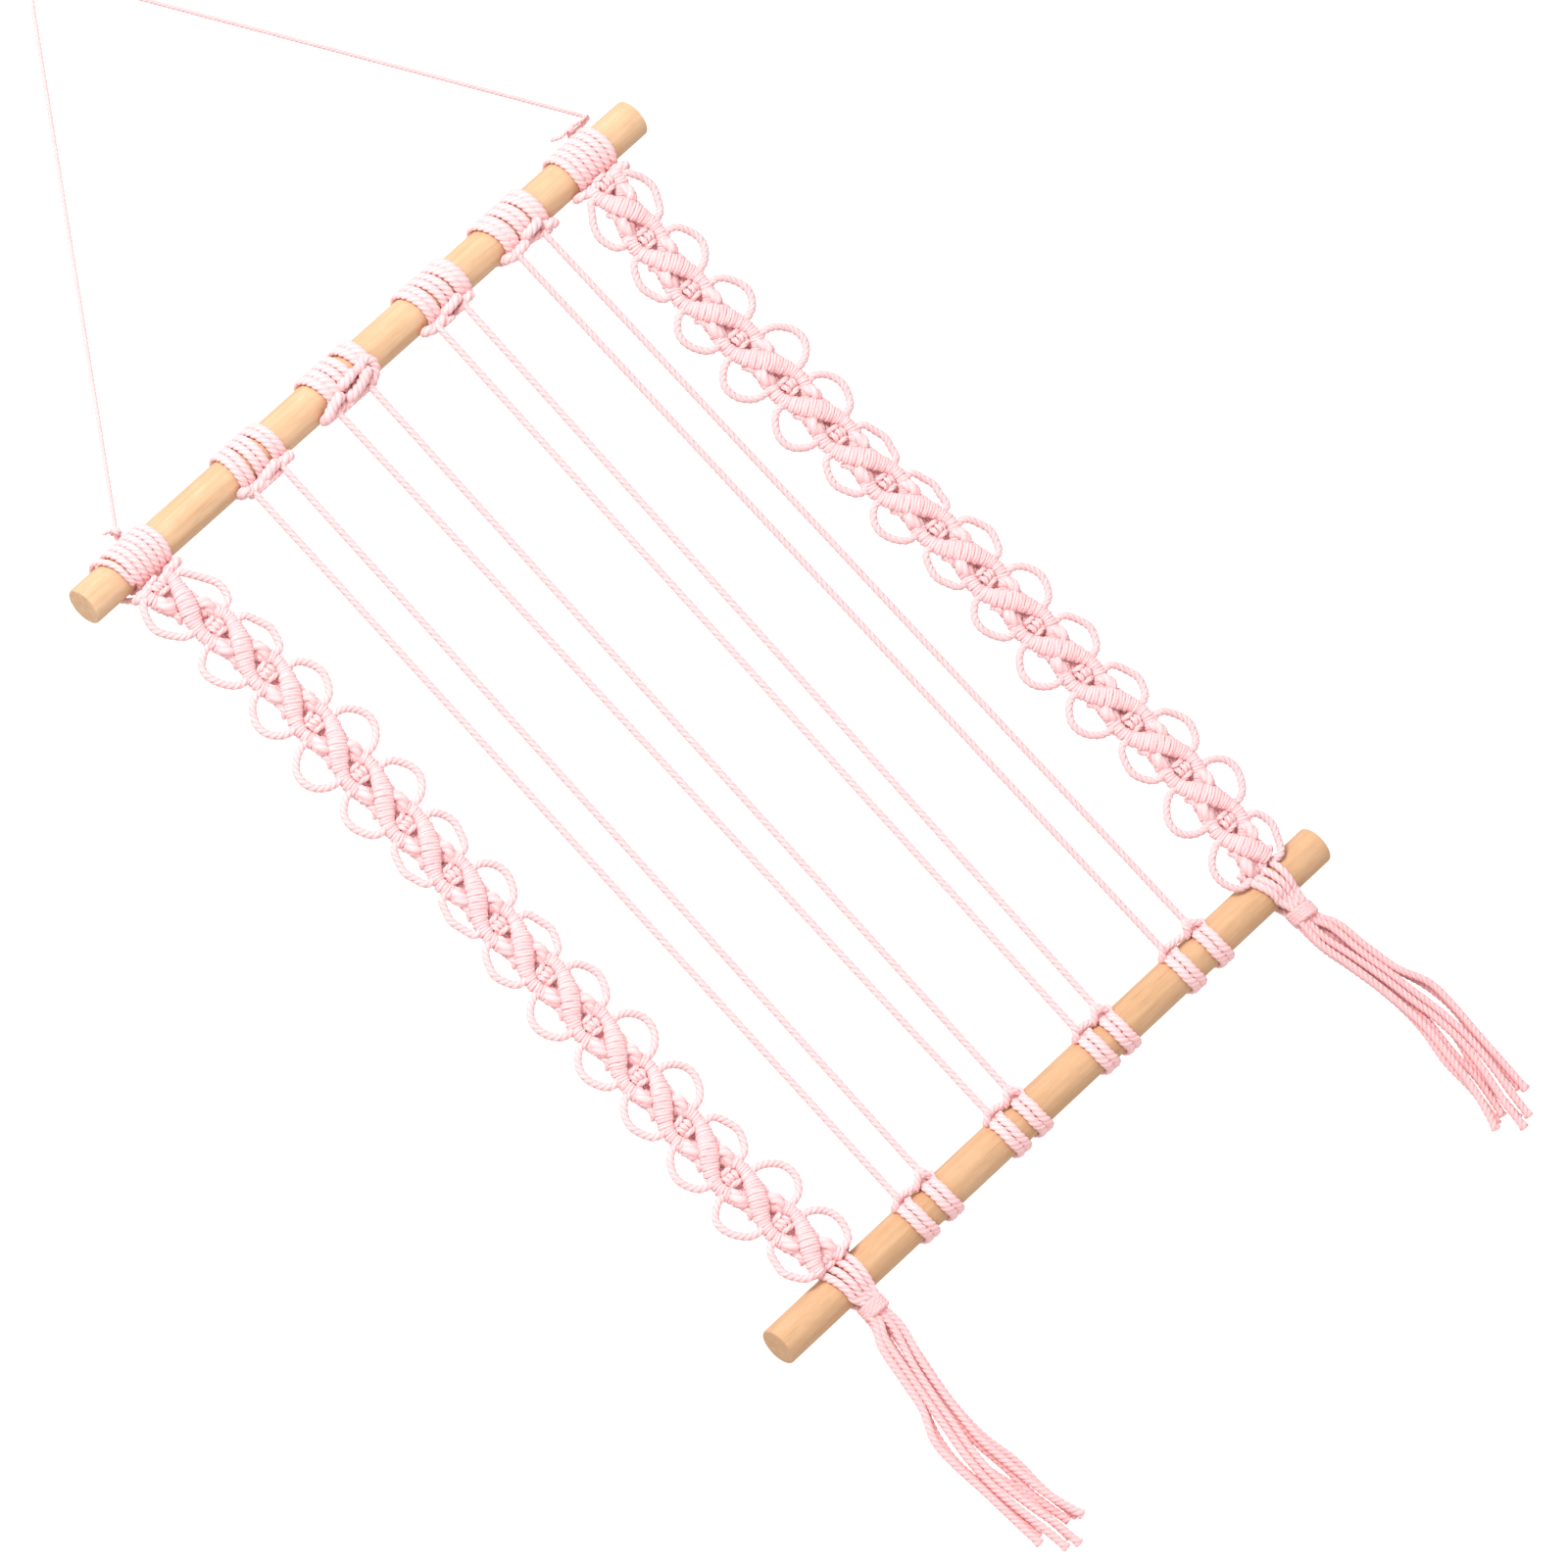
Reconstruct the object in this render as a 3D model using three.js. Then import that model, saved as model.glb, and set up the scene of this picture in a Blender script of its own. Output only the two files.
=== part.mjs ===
// A macrame wall hanger: two wooden dowels joined by two knotted bands and four
// warp cords, hung from a nail by a thin cord, with a tassel under each band.
//
// Millimetres, +Z up, the front faces -Y. The origin is the point where the
// hanging cord rests on its nail.
import * as THREE from 'three'

// Driving dimensions
const DOWEL_DIAMETER = 15.6
const DOWEL_LENGTH = 300
const DOWEL_SPACING = 375 // axis to axis
const NAIL_HEIGHT = 190 // the nail above the top dowel's axis
const DOWEL_SHIFT = -10 // the dowels' middle from the nail, along X
const ROPE_DIAMETER = 3
const HANGING_CORD_DIAMETER = 1.8
const LOOP_COUNT = 14 // picot loops on each side of a band
const LOOP_PITCH = 25.35
const GAP = 0.3 // between touching pieces
const FOOT_HITCH_WIDTH = 2.25 * ROPE_DIAMETER

const TOP_Z = -NAIL_HEIGHT
const BOTTOM_Z = TOP_Z - DOWEL_SPACING
const DOWEL_RADIUS = DOWEL_DIAMETER / 2
const WRAP_INNER = DOWEL_RADIUS + 0.45 // a faceted ring's corners, clear of the wood
const WRAP_OUTER = DOWEL_RADIUS + 0.2 + 0.83 * ROPE_DIAMETER // rope pulled flat on the wood
const STRAND_DIAMETER = 0.87 * ROPE_DIAMETER // a rope pulled straight is thinner

// Each band: middle of its mount on the top dowel, of the braid's top and foot,
// and of its gathering knot, all measured along the dowels from their middle.
const BANDS = [
  { side: 'left', mount: -124, braidTop: -122.5, braidFoot: -116.5, knot: -113.5, knotDrop: 12.8 },
  { side: 'right', mount: 118.5, braidTop: 118, braidFoot: 126.5, knot: 124.5, knotDrop: 14.8 },
]

// Each warp cord: its head hitch on the top dowel, the tops and feet of its two
// strands, and the middles of its two foot hitches on the bottom dowel.
const WARPS = [
  { head: -64, width: 25.2, tops: [-71.5, -56.1], feet: [-77.3, -63.6], hitches: [-78.3, -64.6] },
  { head: -14.6, width: 29.9, tops: [-24.5, -7.8], feet: [-27.5, -14.8], hitches: [-28.4, -14.2] },
  { head: 36.8, width: 26.6, tops: [29.1, 43], feet: [22.6, 34.7], hitches: [21, 34.8] },
  { head: 79.5, width: 27.3, tops: [73.2, 87.1], feet: [70.7, 85.2], hitches: [69.6, 87] },
]

const pink = new THREE.MeshStandardMaterial({ color: 0xf6c3ca, roughness: 0.95, metalness: 0 })
const beech = new THREE.MeshStandardMaterial({ color: 0xefc893, roughness: 0.6, metalness: 0 })

const hanger = new THREE.Group()
const bars = new THREE.Group()
bars.position.x = DOWEL_SHIFT
hanger.add(bars)

function addMesh(parent, name, geometry, material) {
  const mesh = new THREE.Mesh(geometry, material)
  mesh.name = name
  parent.add(mesh)
  return mesh
}

// Turns a mesh so that its own X, Y and Z run along Y, Z and X, for a section
// drawn across a dowel and extruded along it.
function layAlongDowel(mesh) {
  const turn = new THREE.Matrix4().makeBasis(
    new THREE.Vector3(0, 1, 0),
    new THREE.Vector3(0, 0, 1),
    new THREE.Vector3(1, 0, 0),
  )
  mesh.quaternion.setFromRotationMatrix(turn)
}

function extrude(shape, depth, curveSegments) {
  return new THREE.ExtrudeGeometry(shape, { depth, bevelEnabled: false, steps: 1, curveSegments })
}

// ---- Dowels

function dowelGeometry() {
  const chamfer = 0.7
  const half = DOWEL_LENGTH / 2
  const profile = [
    new THREE.Vector2(0, -half),
    new THREE.Vector2(DOWEL_RADIUS - chamfer, -half),
    new THREE.Vector2(DOWEL_RADIUS, -half + chamfer),
    new THREE.Vector2(DOWEL_RADIUS, half - chamfer),
    new THREE.Vector2(DOWEL_RADIUS - chamfer, half),
    new THREE.Vector2(0, half),
  ]
  return new THREE.LatheGeometry(profile, 32)
}

function addDowel(name, z) {
  const dowel = addMesh(bars, name, dowelGeometry(), beech)
  dowel.rotation.z = -Math.PI / 2
  dowel.position.z = z
}

// ---- Rope wound round a dowel

// A plain winding is a ring. A head hitch has its crossing bars as a bulge at
// its lower front, at barAngle, where its strands leave.
function addWinding(name, middle, width, z, withBars) {
  const section = new THREE.Shape()
  if (withBars) {
    const barAngle = (238 * Math.PI) / 180
    const barReach = WRAP_OUTER + 0.3
    const barRadius = 0.9 * ROPE_DIAMETER
    const shoulder = (15 * Math.PI) / 180
    section.absarc(0, 0, WRAP_OUTER, barAngle + shoulder, barAngle - shoulder + 2 * Math.PI, false)
    const barY = barReach * Math.cos(barAngle)
    const barZ = barReach * Math.sin(barAngle)
    section.absarc(barY, barZ, barRadius, barAngle - 1.5, barAngle + 1.5, false)
  } else {
    section.absarc(0, 0, WRAP_OUTER, 0, 2 * Math.PI, false)
  }
  const bore = new THREE.Path()
  bore.absarc(0, 0, WRAP_INNER, 0, 2 * Math.PI, true)
  section.holes.push(bore)
  const winding = addMesh(bars, name, extrude(section, width, 11), pink)
  layAlongDowel(winding)
  winding.position.set(middle - width / 2, 0, z)
}

// ---- Straight cords

// A straight round piece between two points, made along its own Z.
function addStraightCord(parent, name, from, to, diameter, sides) {
  const start = new THREE.Vector3(...from)
  const run = new THREE.Vector3(...to).sub(start)
  const section = new THREE.Shape()
  section.absarc(0, 0, diameter / 2, 0, 2 * Math.PI, false)
  const cord = addMesh(parent, name, extrude(section, run.length(), sides / 2), pink)
  cord.quaternion.setFromUnitVectors(new THREE.Vector3(0, 0, 1), run.normalize())
  cord.position.copy(start)
}

// ---- Warp cords

function addWarpCord(number, warp) {
  const name = `warp_cord_${number}`
  const strandY = -(DOWEL_RADIUS + 0.4)
  const strandTop = TOP_Z - 12.2
  const strandFoot = BOTTOM_Z + 8.6
  addWinding(`${name}_head_hitch`, warp.head, warp.width, TOP_Z, true)
  for (const [i, side] of ['left', 'right'].entries()) {
    const top = [warp.tops[i], strandY, strandTop]
    const foot = [warp.feet[i], strandY, strandFoot]
    addStraightCord(bars, `${name}_${side}_strand`, top, foot, STRAND_DIAMETER, 8)
    addWinding(`${name}_${side}_foot_hitch`, warp.hitches[i], FOOT_HITCH_WIDTH, BOTTOM_Z, false)
  }
  // the bar that links the two foot hitches along the top of the dowel
  const linkAngle = (70 * Math.PI) / 180
  const linkReach = DOWEL_RADIUS + GAP + ROPE_DIAMETER / 2
  const linkY = -linkReach * Math.cos(linkAngle)
  const linkZ = BOTTOM_Z + linkReach * Math.sin(linkAngle)
  const clear = FOOT_HITCH_WIDTH / 2 + GAP
  const from = [warp.hitches[0] + clear, linkY, linkZ]
  const to = [warp.hitches[1] - clear, linkY, linkZ]
  addStraightCord(bars, `${name}_foot_link`, from, to, 0.9 * ROPE_DIAMETER, 8)
}

// ---- Knotted bands

const CORE_HALF_WIDTH = 8.8
const LOOP_REACH = 18.5 // from the band's middle to the outside of its loops
const LOOP_HALF_HEIGHT = 9.2
const BRAID_THICKNESS = 2 * ROPE_DIAMETER
const BRAID_BACK_Y = -4
const BRAID_TOP = TOP_Z - 10.6
const BRAID_FOOT = BOTTOM_Z + 8.4
const FIRST_LOOP_DROP = 27.5 // the first loop's middle under the top dowel's axis

// The braid lies flat in its own XY plane, with its foot at y = 0. Each side
// has a row of round picot loops, each with its own hole.
function braidGeometry() {
  const length = BRAID_TOP - BRAID_FOOT
  const firstLoop = TOP_Z - FIRST_LOOP_DROP - BRAID_FOOT
  const middles = Array.from({ length: LOOP_COUNT }, (_, i) => firstLoop - i * LOOP_PITCH)
  const outline = new THREE.Shape()
  outline.moveTo(-CORE_HALF_WIDTH, 0)
  outline.lineTo(CORE_HALF_WIDTH, 0)
  const right = [...middles].reverse()
  for (const y of right) addLoopOutline(outline, 1, y, LOOP_HALF_HEIGHT)
  outline.lineTo(CORE_HALF_WIDTH, length)
  outline.lineTo(-CORE_HALF_WIDTH, length)
  for (const y of middles) addLoopOutline(outline, -1, y, -LOOP_HALF_HEIGHT)
  outline.closePath()
  for (const side of [-1, 1]) {
    for (const y of middles) {
      const hole = new THREE.Path()
      hole.absellipse(side * 12.2, y, 3.4, 6.4, 0, 2 * Math.PI, true)
      outline.holes.push(hole)
    }
  }
  return extrude(outline, BRAID_THICKNESS, 4)
}

// One loop's outside: out from the core, round, and back to it.
function addLoopOutline(outline, side, y, rise) {
  const steps = 6
  for (let i = 0; i <= steps; i++) {
    const turn = -Math.PI / 2 + (Math.PI * i) / steps
    const reach = (LOOP_REACH - CORE_HALF_WIDTH) * Math.cos(turn)
    outline.lineTo(side * (CORE_HALF_WIDTH + reach), y + rise * Math.sin(turn))
  }
}

// Strands that pass a dowel on one side, between the two angles, which count
// from the front and upwards.
function addDowelStrands(name, middle, fromDegrees, toDegrees) {
  const width = 4 * ROPE_DIAMETER + 1.2
  const from = (fromDegrees * Math.PI) / 180
  const to = (toDegrees * Math.PI) / 180
  const section = new THREE.Shape()
  section.absarc(0, 0, WRAP_OUTER, from, to, false)
  section.absarc(0, 0, WRAP_INNER, to, from, true)
  const strands = addMesh(bars, name, extrude(section, width, 6), pink)
  layAlongDowel(strands)
  strands.position.set(middle - width / 2, 0, BOTTOM_Z)
}

const KNOT_RADIUS = 5
const KNOT_HALF_HEIGHT = 3.6
const KNOT_Y = -3

function addGatheringKnot(name, x, z) {
  const corner = 1.2
  const profile = [
    new THREE.Vector2(0, -KNOT_HALF_HEIGHT),
    new THREE.Vector2(KNOT_RADIUS - corner, -KNOT_HALF_HEIGHT),
    new THREE.Vector2(KNOT_RADIUS, -KNOT_HALF_HEIGHT + corner),
    new THREE.Vector2(KNOT_RADIUS, KNOT_HALF_HEIGHT - corner),
    new THREE.Vector2(KNOT_RADIUS - corner, KNOT_HALF_HEIGHT),
    new THREE.Vector2(0, KNOT_HALF_HEIGHT),
  ]
  const knot = addMesh(bars, name, new THREE.LatheGeometry(profile, 16), pink)
  knot.rotation.x = Math.PI / 2
  knot.position.set(x, KNOT_Y, z)
}

// ---- Tassels

// Routes of a tassel's strands below the middle of its knot: how far forward
// each one hangs, then across (outwards is positive) and down.
const LANE = 1.75
const TASSEL_STRANDS = [
  { forward: LANE, route: [[4.6, 6.6], [8.6, 16], [10.5, 27], [13, 40], [18.3, 52], [18.7, 64], [17.5, 78], [16.6, 92], [15.6, 106]] },
  { forward: -LANE, route: [[4.7, 6.6], [7.2, 16], [9, 27], [11.2, 40], [15, 52], [16.4, 64], [14.8, 78], [13.4, 92], [12.6, 104]] },
  { forward: LANE, route: [[1.5, 6.6], [5, 16], [7.3, 27], [9.6, 40], [11.4, 52], [13.2, 64], [13.7, 78], [12.3, 92], [10.2, 104], [8.8, 114]] },
  { forward: LANE, route: [[-1.6, 6.6], [1.9, 16], [4.2, 27], [6.4, 40], [8.1, 52], [10, 64], [10.4, 78], [8.2, 92], [5.6, 104], [4, 116]] },
  { forward: -LANE, route: [[1.6, 6.6], [3.9, 16], [5.6, 27], [7.7, 40], [9.2, 52], [10.2, 64], [9.2, 78], [6.4, 92], [3.4, 104], [1.6, 112]] },
  { forward: LANE, route: [[-4.7, 6.6], [-2.2, 16], [0.4, 27], [2.3, 40], [3.7, 52], [4.3, 64], [2.6, 78], [0.4, 92], [-2.6, 103], [-4.8, 109]] },
  { forward: -LANE, route: [[-4.7, 6.6], [-4.2, 16], [-1.8, 27], [0.5, 40], [1.6, 52], [1.2, 64], [-1.4, 78], [-1.7, 92], [-3.4, 104], [-4.4, 108]] },
  { forward: -LANE, route: [[-1.6, 6.6], [-0.4, 16], [1.8, 27], [4, 40], [5.2, 52], [4.8, 64], [2.4, 78], [1.9, 92], [0, 103], [-0.6, 107]] },
]

function addTassel(side, x, z) {
  const outwards = side === 'left' ? -1 : 1
  const section = new THREE.Shape()
  section.absarc(0, 0, 0.43 * ROPE_DIAMETER, 0, 2 * Math.PI, false)
  for (const [i, strand] of TASSEL_STRANDS.entries()) {
    const points = strand.route.map(
      ([across, down]) => new THREE.Vector3(x + outwards * across, KNOT_Y - strand.forward, z - down),
    )
    const path = new THREE.CatmullRomCurve3(points)
    const tube = new THREE.ExtrudeGeometry(section, { steps: 14, curveSegments: 4, extrudePath: path })
    addMesh(bars, `${side}_tassel_strand_${i + 1}`, tube, pink)
  }
}

// ---- Each band with its mount, its strands round the bottom dowel and its tassel

function addBand(band) {
  addWinding(`${band.side}_band_mount`, band.mount, 25.6, TOP_Z, false)
  const braid = addMesh(bars, `${band.side}_band_braid`, braidGeometry(), pink)
  const lean = Math.atan2(band.braidTop - band.braidFoot, BRAID_TOP - BRAID_FOOT)
  braid.rotation.set(Math.PI / 2, lean, 0, 'YXZ')
  braid.position.set(band.braidFoot, BRAID_BACK_Y, BRAID_FOOT)
  addDowelStrands(`${band.side}_band_front_strands`, band.braidFoot + 0.6, 180 - 46, 180 + 36)
  addDowelStrands(`${band.side}_band_back_strands`, band.braidFoot + 0.6, -36, 62)
  const knotZ = BOTTOM_Z - band.knotDrop
  addGatheringKnot(`${band.side}_gathering_knot`, band.knot, knotZ)
  addTassel(band.side, band.knot, knotZ)
}

// ---- Hanging cord

// The cord is knotted above the back of the two band mounts. The right knot's
// tail lies along the top of its mount, and the left one's stands up.
const KNOT_CENTRES = {
  left: [DOWEL_SHIFT - 117.5, 5.5, TOP_Z + 13.2],
  right: [DOWEL_SHIFT + 137.5, 5.5, TOP_Z + 12.6],
}
const TIE_RADIUS = 2.1

function addHangingCord() {
  const radius = HANGING_CORD_DIAMETER / 2
  const nailRadius = 1.2
  const shoulder = 1.4 * nailRadius
  const legs = {}
  for (const [side, centre] of Object.entries(KNOT_CENTRES)) {
    const knot = addMesh(hanger, `hanging_cord_${side}_knot`, new THREE.SphereGeometry(TIE_RADIUS, 12, 8), pink)
    knot.position.set(...centre)
    const top = new THREE.Vector3(side === 'left' ? -shoulder : shoulder, 0, 0)
    const low = new THREE.Vector3(...centre)
    const up = top.clone().sub(low).normalize()
    low.addScaledVector(up, TIE_RADIUS + GAP)
    const middle = top.clone().lerp(low, 0.5)
    legs[side] = [low, middle, top]
  }
  const apex = new THREE.Vector3(0, 0, radius)
  const path = new THREE.CatmullRomCurve3([...legs.left, apex, ...legs.right.reverse()])
  const section = new THREE.Shape()
  section.absarc(0, 0, radius, 0, 2 * Math.PI, false)
  const cord = new THREE.ExtrudeGeometry(section, { steps: 60, curveSegments: 4, extrudePath: path })
  addMesh(hanger, 'hanging_cord', cord, pink)

  const tailLength = 14
  const [x, y, z] = KNOT_CENTRES.right
  const root = [x - TIE_RADIUS - GAP, y - 1.5, z]
  const tip = [x - TIE_RADIUS - GAP - tailLength, y - 3, z + 0.4]
  addStraightCord(hanger, 'hanging_cord_right_tail', root, tip, HANGING_CORD_DIAMETER, 8)
}

addDowel('top_dowel', TOP_Z)
addDowel('bottom_dowel', BOTTOM_Z)
for (const [i, warp] of WARPS.entries()) addWarpCord(i + 1, warp)
for (const band of BANDS) addBand(band)
addHangingCord()

export default hanger
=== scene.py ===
"""Looks for a macrame wall hanging frame: twisted pink rope on two beech dowels.

Lengths are in millimetres in the CAD's frame until a mesh is made: +Z up, the front faces -Y.
"""
import math
import random

import bpy
import numpy as np
from mathutils import Matrix, Vector


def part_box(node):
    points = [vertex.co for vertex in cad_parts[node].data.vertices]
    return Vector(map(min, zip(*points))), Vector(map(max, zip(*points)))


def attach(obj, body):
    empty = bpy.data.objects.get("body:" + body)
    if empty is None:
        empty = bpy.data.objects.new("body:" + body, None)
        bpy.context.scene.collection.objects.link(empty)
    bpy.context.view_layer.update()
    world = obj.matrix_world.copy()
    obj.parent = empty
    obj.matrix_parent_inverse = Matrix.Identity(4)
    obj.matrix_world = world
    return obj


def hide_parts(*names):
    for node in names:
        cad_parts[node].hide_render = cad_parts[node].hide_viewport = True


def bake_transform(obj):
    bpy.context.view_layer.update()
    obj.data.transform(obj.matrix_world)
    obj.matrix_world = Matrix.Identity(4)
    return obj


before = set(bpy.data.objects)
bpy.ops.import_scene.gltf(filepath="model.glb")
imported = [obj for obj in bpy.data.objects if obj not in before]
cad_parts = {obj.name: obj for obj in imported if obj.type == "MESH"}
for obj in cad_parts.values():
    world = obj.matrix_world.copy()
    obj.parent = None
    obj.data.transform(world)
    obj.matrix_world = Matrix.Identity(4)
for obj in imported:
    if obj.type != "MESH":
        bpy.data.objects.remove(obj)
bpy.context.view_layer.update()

MM = 0.001
TAU = 2 * math.pi


def node_middle(node):
    """The middle of a CAD node's box, in millimetres."""
    low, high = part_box(node)
    return np.array((low + high) / 2) / MM


TOP = node_middle("top_dowel")  # middle of the top dowel's axis
BOTTOM = node_middle("bottom_dowel")
SHIFT = TOP[0]  # the dowels' middle from the nail, along X
DOWEL_RADIUS = 7.8
DOWEL_LENGTH = 300
ROPE = 3.1  # slack rope's diameter
TAUT_ROPE = 2.85
LAY = 7.2  # length in which a ply goes once round slack rope
TAUT_LAY = 8.8
WRAP_THICKNESS = 2.5  # rope pulled flat on the wood
WRAP_REACH = DOWEL_RADIUS + WRAP_THICKNESS / 2  # from a dowel's axis to a wrap's centreline
WRAP_OUTER = DOWEL_RADIUS + WRAP_THICKNESS

SIDES = {"left": -1, "right": 1}
# The bands' and tassels' rope twists one way on the left and the other way on the right.
HAND = {"left": -1, "right": 1}


# ---- Camera

def add_camera():
    """Looks slightly up from the left, turned so that the hanger lies across the picture."""
    azimuth, elevation, roll = math.radians(-24), math.radians(-1.462), math.radians(43.184)
    distance = 7000
    picture_width = 584.2  # at the hanger
    aim_across, aim_upward = 29.6, -21.3  # the picture's middle from the middle of the dowels
    back = Vector((
        math.sin(azimuth) * math.cos(elevation),
        -math.cos(azimuth) * math.cos(elevation),
        math.sin(elevation),
    ))
    right = Vector((math.cos(azimuth), math.sin(azimuth), 0))
    up = back.cross(right)
    across = math.cos(roll) * right - math.sin(roll) * up
    upward = math.sin(roll) * right + math.cos(roll) * up
    target = Vector((TOP + BOTTOM) / 2) + aim_across * across + aim_upward * upward
    data = bpy.data.cameras.new("camera")
    data.sensor_width = 36
    data.lens = data.sensor_width * distance / picture_width
    data.clip_start = 0.1
    data.clip_end = 100
    camera = bpy.data.objects.new("camera", data)
    turned = Matrix((across, upward, back)).transposed().to_4x4()
    camera.matrix_world = Matrix.Translation((target + distance * back) * MM) @ turned
    bpy.context.scene.collection.objects.link(camera)
    bpy.context.scene.camera = camera


add_camera()


# ---- Rope meshes

def between(value, low, high):
    """0 below low, 1 above high and a smooth change between them."""
    t = min(1, max(0, (value - low) / (high - low)))
    return t * t * (3 - 2 * t)


def smooth_between(values, stops):
    """One number for each value, going smoothly through stops: (value, number)."""
    result = np.full(len(values), float(stops[0][1]))
    for (low, start), (high, end) in zip(stops, stops[1:]):
        share = np.clip((values - low) / (high - low), 0, 1)
        result += (end - start) * share**2 * (3 - 2 * share)
    return result


def smooth(points, step):
    """Close points along a smooth curve through the given ones."""
    p = np.array(points, float)
    p = np.vstack([2 * p[0] - p[1], p, 2 * p[-1] - p[-2]])
    found = []
    for a, b, c, d in zip(p, p[1:], p[2:], p[3:]):
        count = max(2, int(np.linalg.norm(c - b) / step * 2))
        t = np.linspace(0, 1, count, endpoint=False)[:, None]
        found.append(
            0.5 * (2 * b + (c - a) * t + (2 * a - 5 * b + 4 * c - d) * t**2
                   + (3 * b - a - 3 * c + d) * t**3)
        )
    return np.vstack([*found, p[-2:-1]])


def even(points, step):
    """The same line with its points evenly spaced, and how far along it each one is."""
    gaps = np.linalg.norm(np.diff(points, axis=0), axis=1)
    along = np.concatenate([[0], np.cumsum(gaps)])
    count = max(4, round(along[-1] / step) + 1)
    where = np.linspace(0, along[-1], count)
    return np.column_stack([np.interp(where, along, points[:, k]) for k in range(3)]), where


def cross_directions(line):
    """Two directions across a line at each of its points, turning with it as little as they can."""
    tangents = np.gradient(line, axis=0)
    tangents /= np.linalg.norm(tangents, axis=1)[:, None]
    first = np.eye(3)[np.argmin(np.abs(tangents[0]))]
    normals = []
    for tangent in tangents:
        first = first - (first @ tangent) * tangent
        first = first / np.linalg.norm(first)
        normals.append(first)
    normals = np.array(normals)
    return normals, np.cross(tangents, normals)


def link(name, mesh, material):
    """Puts a smoothly shaded mesh into the scene."""
    mesh.materials.append(material)
    mesh.polygons.foreach_set("use_smooth", [True] * len(mesh.polygons))
    piece = bpy.data.objects.new(name, mesh)
    bpy.context.scene.collection.objects.link(piece)
    return piece


def tube_faces(start, count, sides):
    """Faces of a closed tube. Its corners are numbered from start: first the rings, then for each
    end a smaller ring and a middle point."""
    i, k = np.meshgrid(np.arange(count - 1), np.arange(sides), indexing="ij")
    k_next = (k + 1) % sides
    quads = np.stack([
        i * sides + k, i * sides + k_next, (i + 1) * sides + k_next, (i + 1) * sides + k,
    ], -1)
    faces = (start + quads.reshape(-1, 4)).tolist()
    caps = start + count * sides
    for end, ring in ((0, start), (1, start + (count - 1) * sides)):
        inner = caps + end * (sides + 1)
        for k in range(sides):
            k_next = (k + 1) % sides
            quad = [ring + k, inner + k, inner + k_next, ring + k_next]
            triangle = [inner + k, inner + sides, inner + k_next]
            faces += [quad, triangle] if end == 0 else [quad[::-1], triangle[::-1]]
    return faces


class RopePiece:
    """Gathers lengths of three-ply rope into one mesh, with each corner's place in its rope."""

    def __init__(self, seed):
        self.corners, self.faces, self.along, self.groove = [], [], [], []
        self.count = 0
        self.random = random.Random(seed)

    def add(self, line, diameter=ROPE, hand=1, lay=LAY, step=0.85, ply_points=6, flat=None,
            flare=0.0, taper=0.0, groove_depth=0.24):
        """Adds rope along a line of close points and returns its centreline. hand is the way the
        plies turn, 1 or -1, and lay the length of a turn. flat is (directions, scale), pressing the
        rope thinner or thicker that way. flare widens the rope's last 3 mm, and taper narrows
        both ends."""
        line, where = even(np.asarray(line, float), step)
        normals, binormals = cross_directions(line)
        sides = 3 * ply_points
        angles = np.arange(sides) * TAU / sides
        swell = np.abs(np.sin(1.5 * angles)) ** 0.8  # 0 in a groove, 1 on a ply
        shape = 1 - groove_depth * (1 - swell)
        turn = hand * TAU * where / lay + self.random.uniform(0, TAU)
        theta = angles[None, :] + turn[:, None]
        radius = np.full(len(line), diameter / 2)
        if flare:
            end = np.clip(1 - (where[-1] - where) / 3, 0, 1)
            radius = radius * (1 + flare * end**2)
        if taper:
            ends = np.clip(1 - np.minimum(where, where[-1] - where) / 3, 0, 1)
            radius = radius * (1 - taper * ends**2)
        reach = radius[:, None] * shape[None, :]
        offset = (
            (reach * np.cos(theta))[..., None] * normals[:, None, :]
            + (reach * np.sin(theta))[..., None] * binormals[:, None, :]
        )
        if flat is not None:
            directions, scale = flat
            directions = np.broadcast_to(np.asarray(directions(line), float), line.shape)
            part = np.einsum("nkc,nc->nk", offset, directions)
            offset = offset + (scale - 1) * part[..., None] * directions[:, None, :]
        rings = line[:, None, :] + offset
        self.corners.append(rings.reshape(-1, 3))
        # the ends: a smaller ring a little further out, and a middle point
        out = np.array([line[0] - line[1], line[-1] - line[-2]])
        out /= np.linalg.norm(out, axis=1)[:, None]
        for ring, centre, direction in ((rings[0], line[0], out[0]), (rings[-1], line[-1], out[-1])):
            self.corners.append(centre + (ring - centre) * 0.7 + direction * 0.16 * diameter)
            self.corners.append((centre + direction * 0.2 * diameter)[None, :])
        self.faces += tube_faces(self.count, len(line), sides)
        self.count += len(line) * sides + 2 * (sides + 1)
        own = self.random.uniform(0, 1000)
        body = np.stack([
            np.broadcast_to(where[:, None] + own, reach.shape),
            reach * np.cos(angles)[None, :],
            reach * np.sin(angles)[None, :],
        ], -1)
        self.along.append(body.reshape(-1, 3))
        self.groove.append(np.broadcast_to(1 - swell, reach.shape).reshape(-1))
        for end in (0, -1):
            self.along.append(body[end] * (1, 0.7, 0.7))
            self.along.append(body[end, :1] * (1, 0, 0))
            self.groove.append(np.full(sides + 1, 0.35))
        return line

    def make(self, name, material):
        mesh = bpy.data.meshes.new(name)
        mesh.from_pydata(np.vstack(self.corners) * MM, [], self.faces)
        along = mesh.attributes.new("rope", "FLOAT_VECTOR", "POINT")
        along.data.foreach_set("vector", np.vstack(self.along).astype(np.float32).ravel())
        groove = mesh.attributes.new("groove", "FLOAT", "POINT")
        groove.data.foreach_set("value", np.concatenate(self.groove).astype(np.float32))
        mesh.update()
        return link(name, mesh, material)


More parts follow.
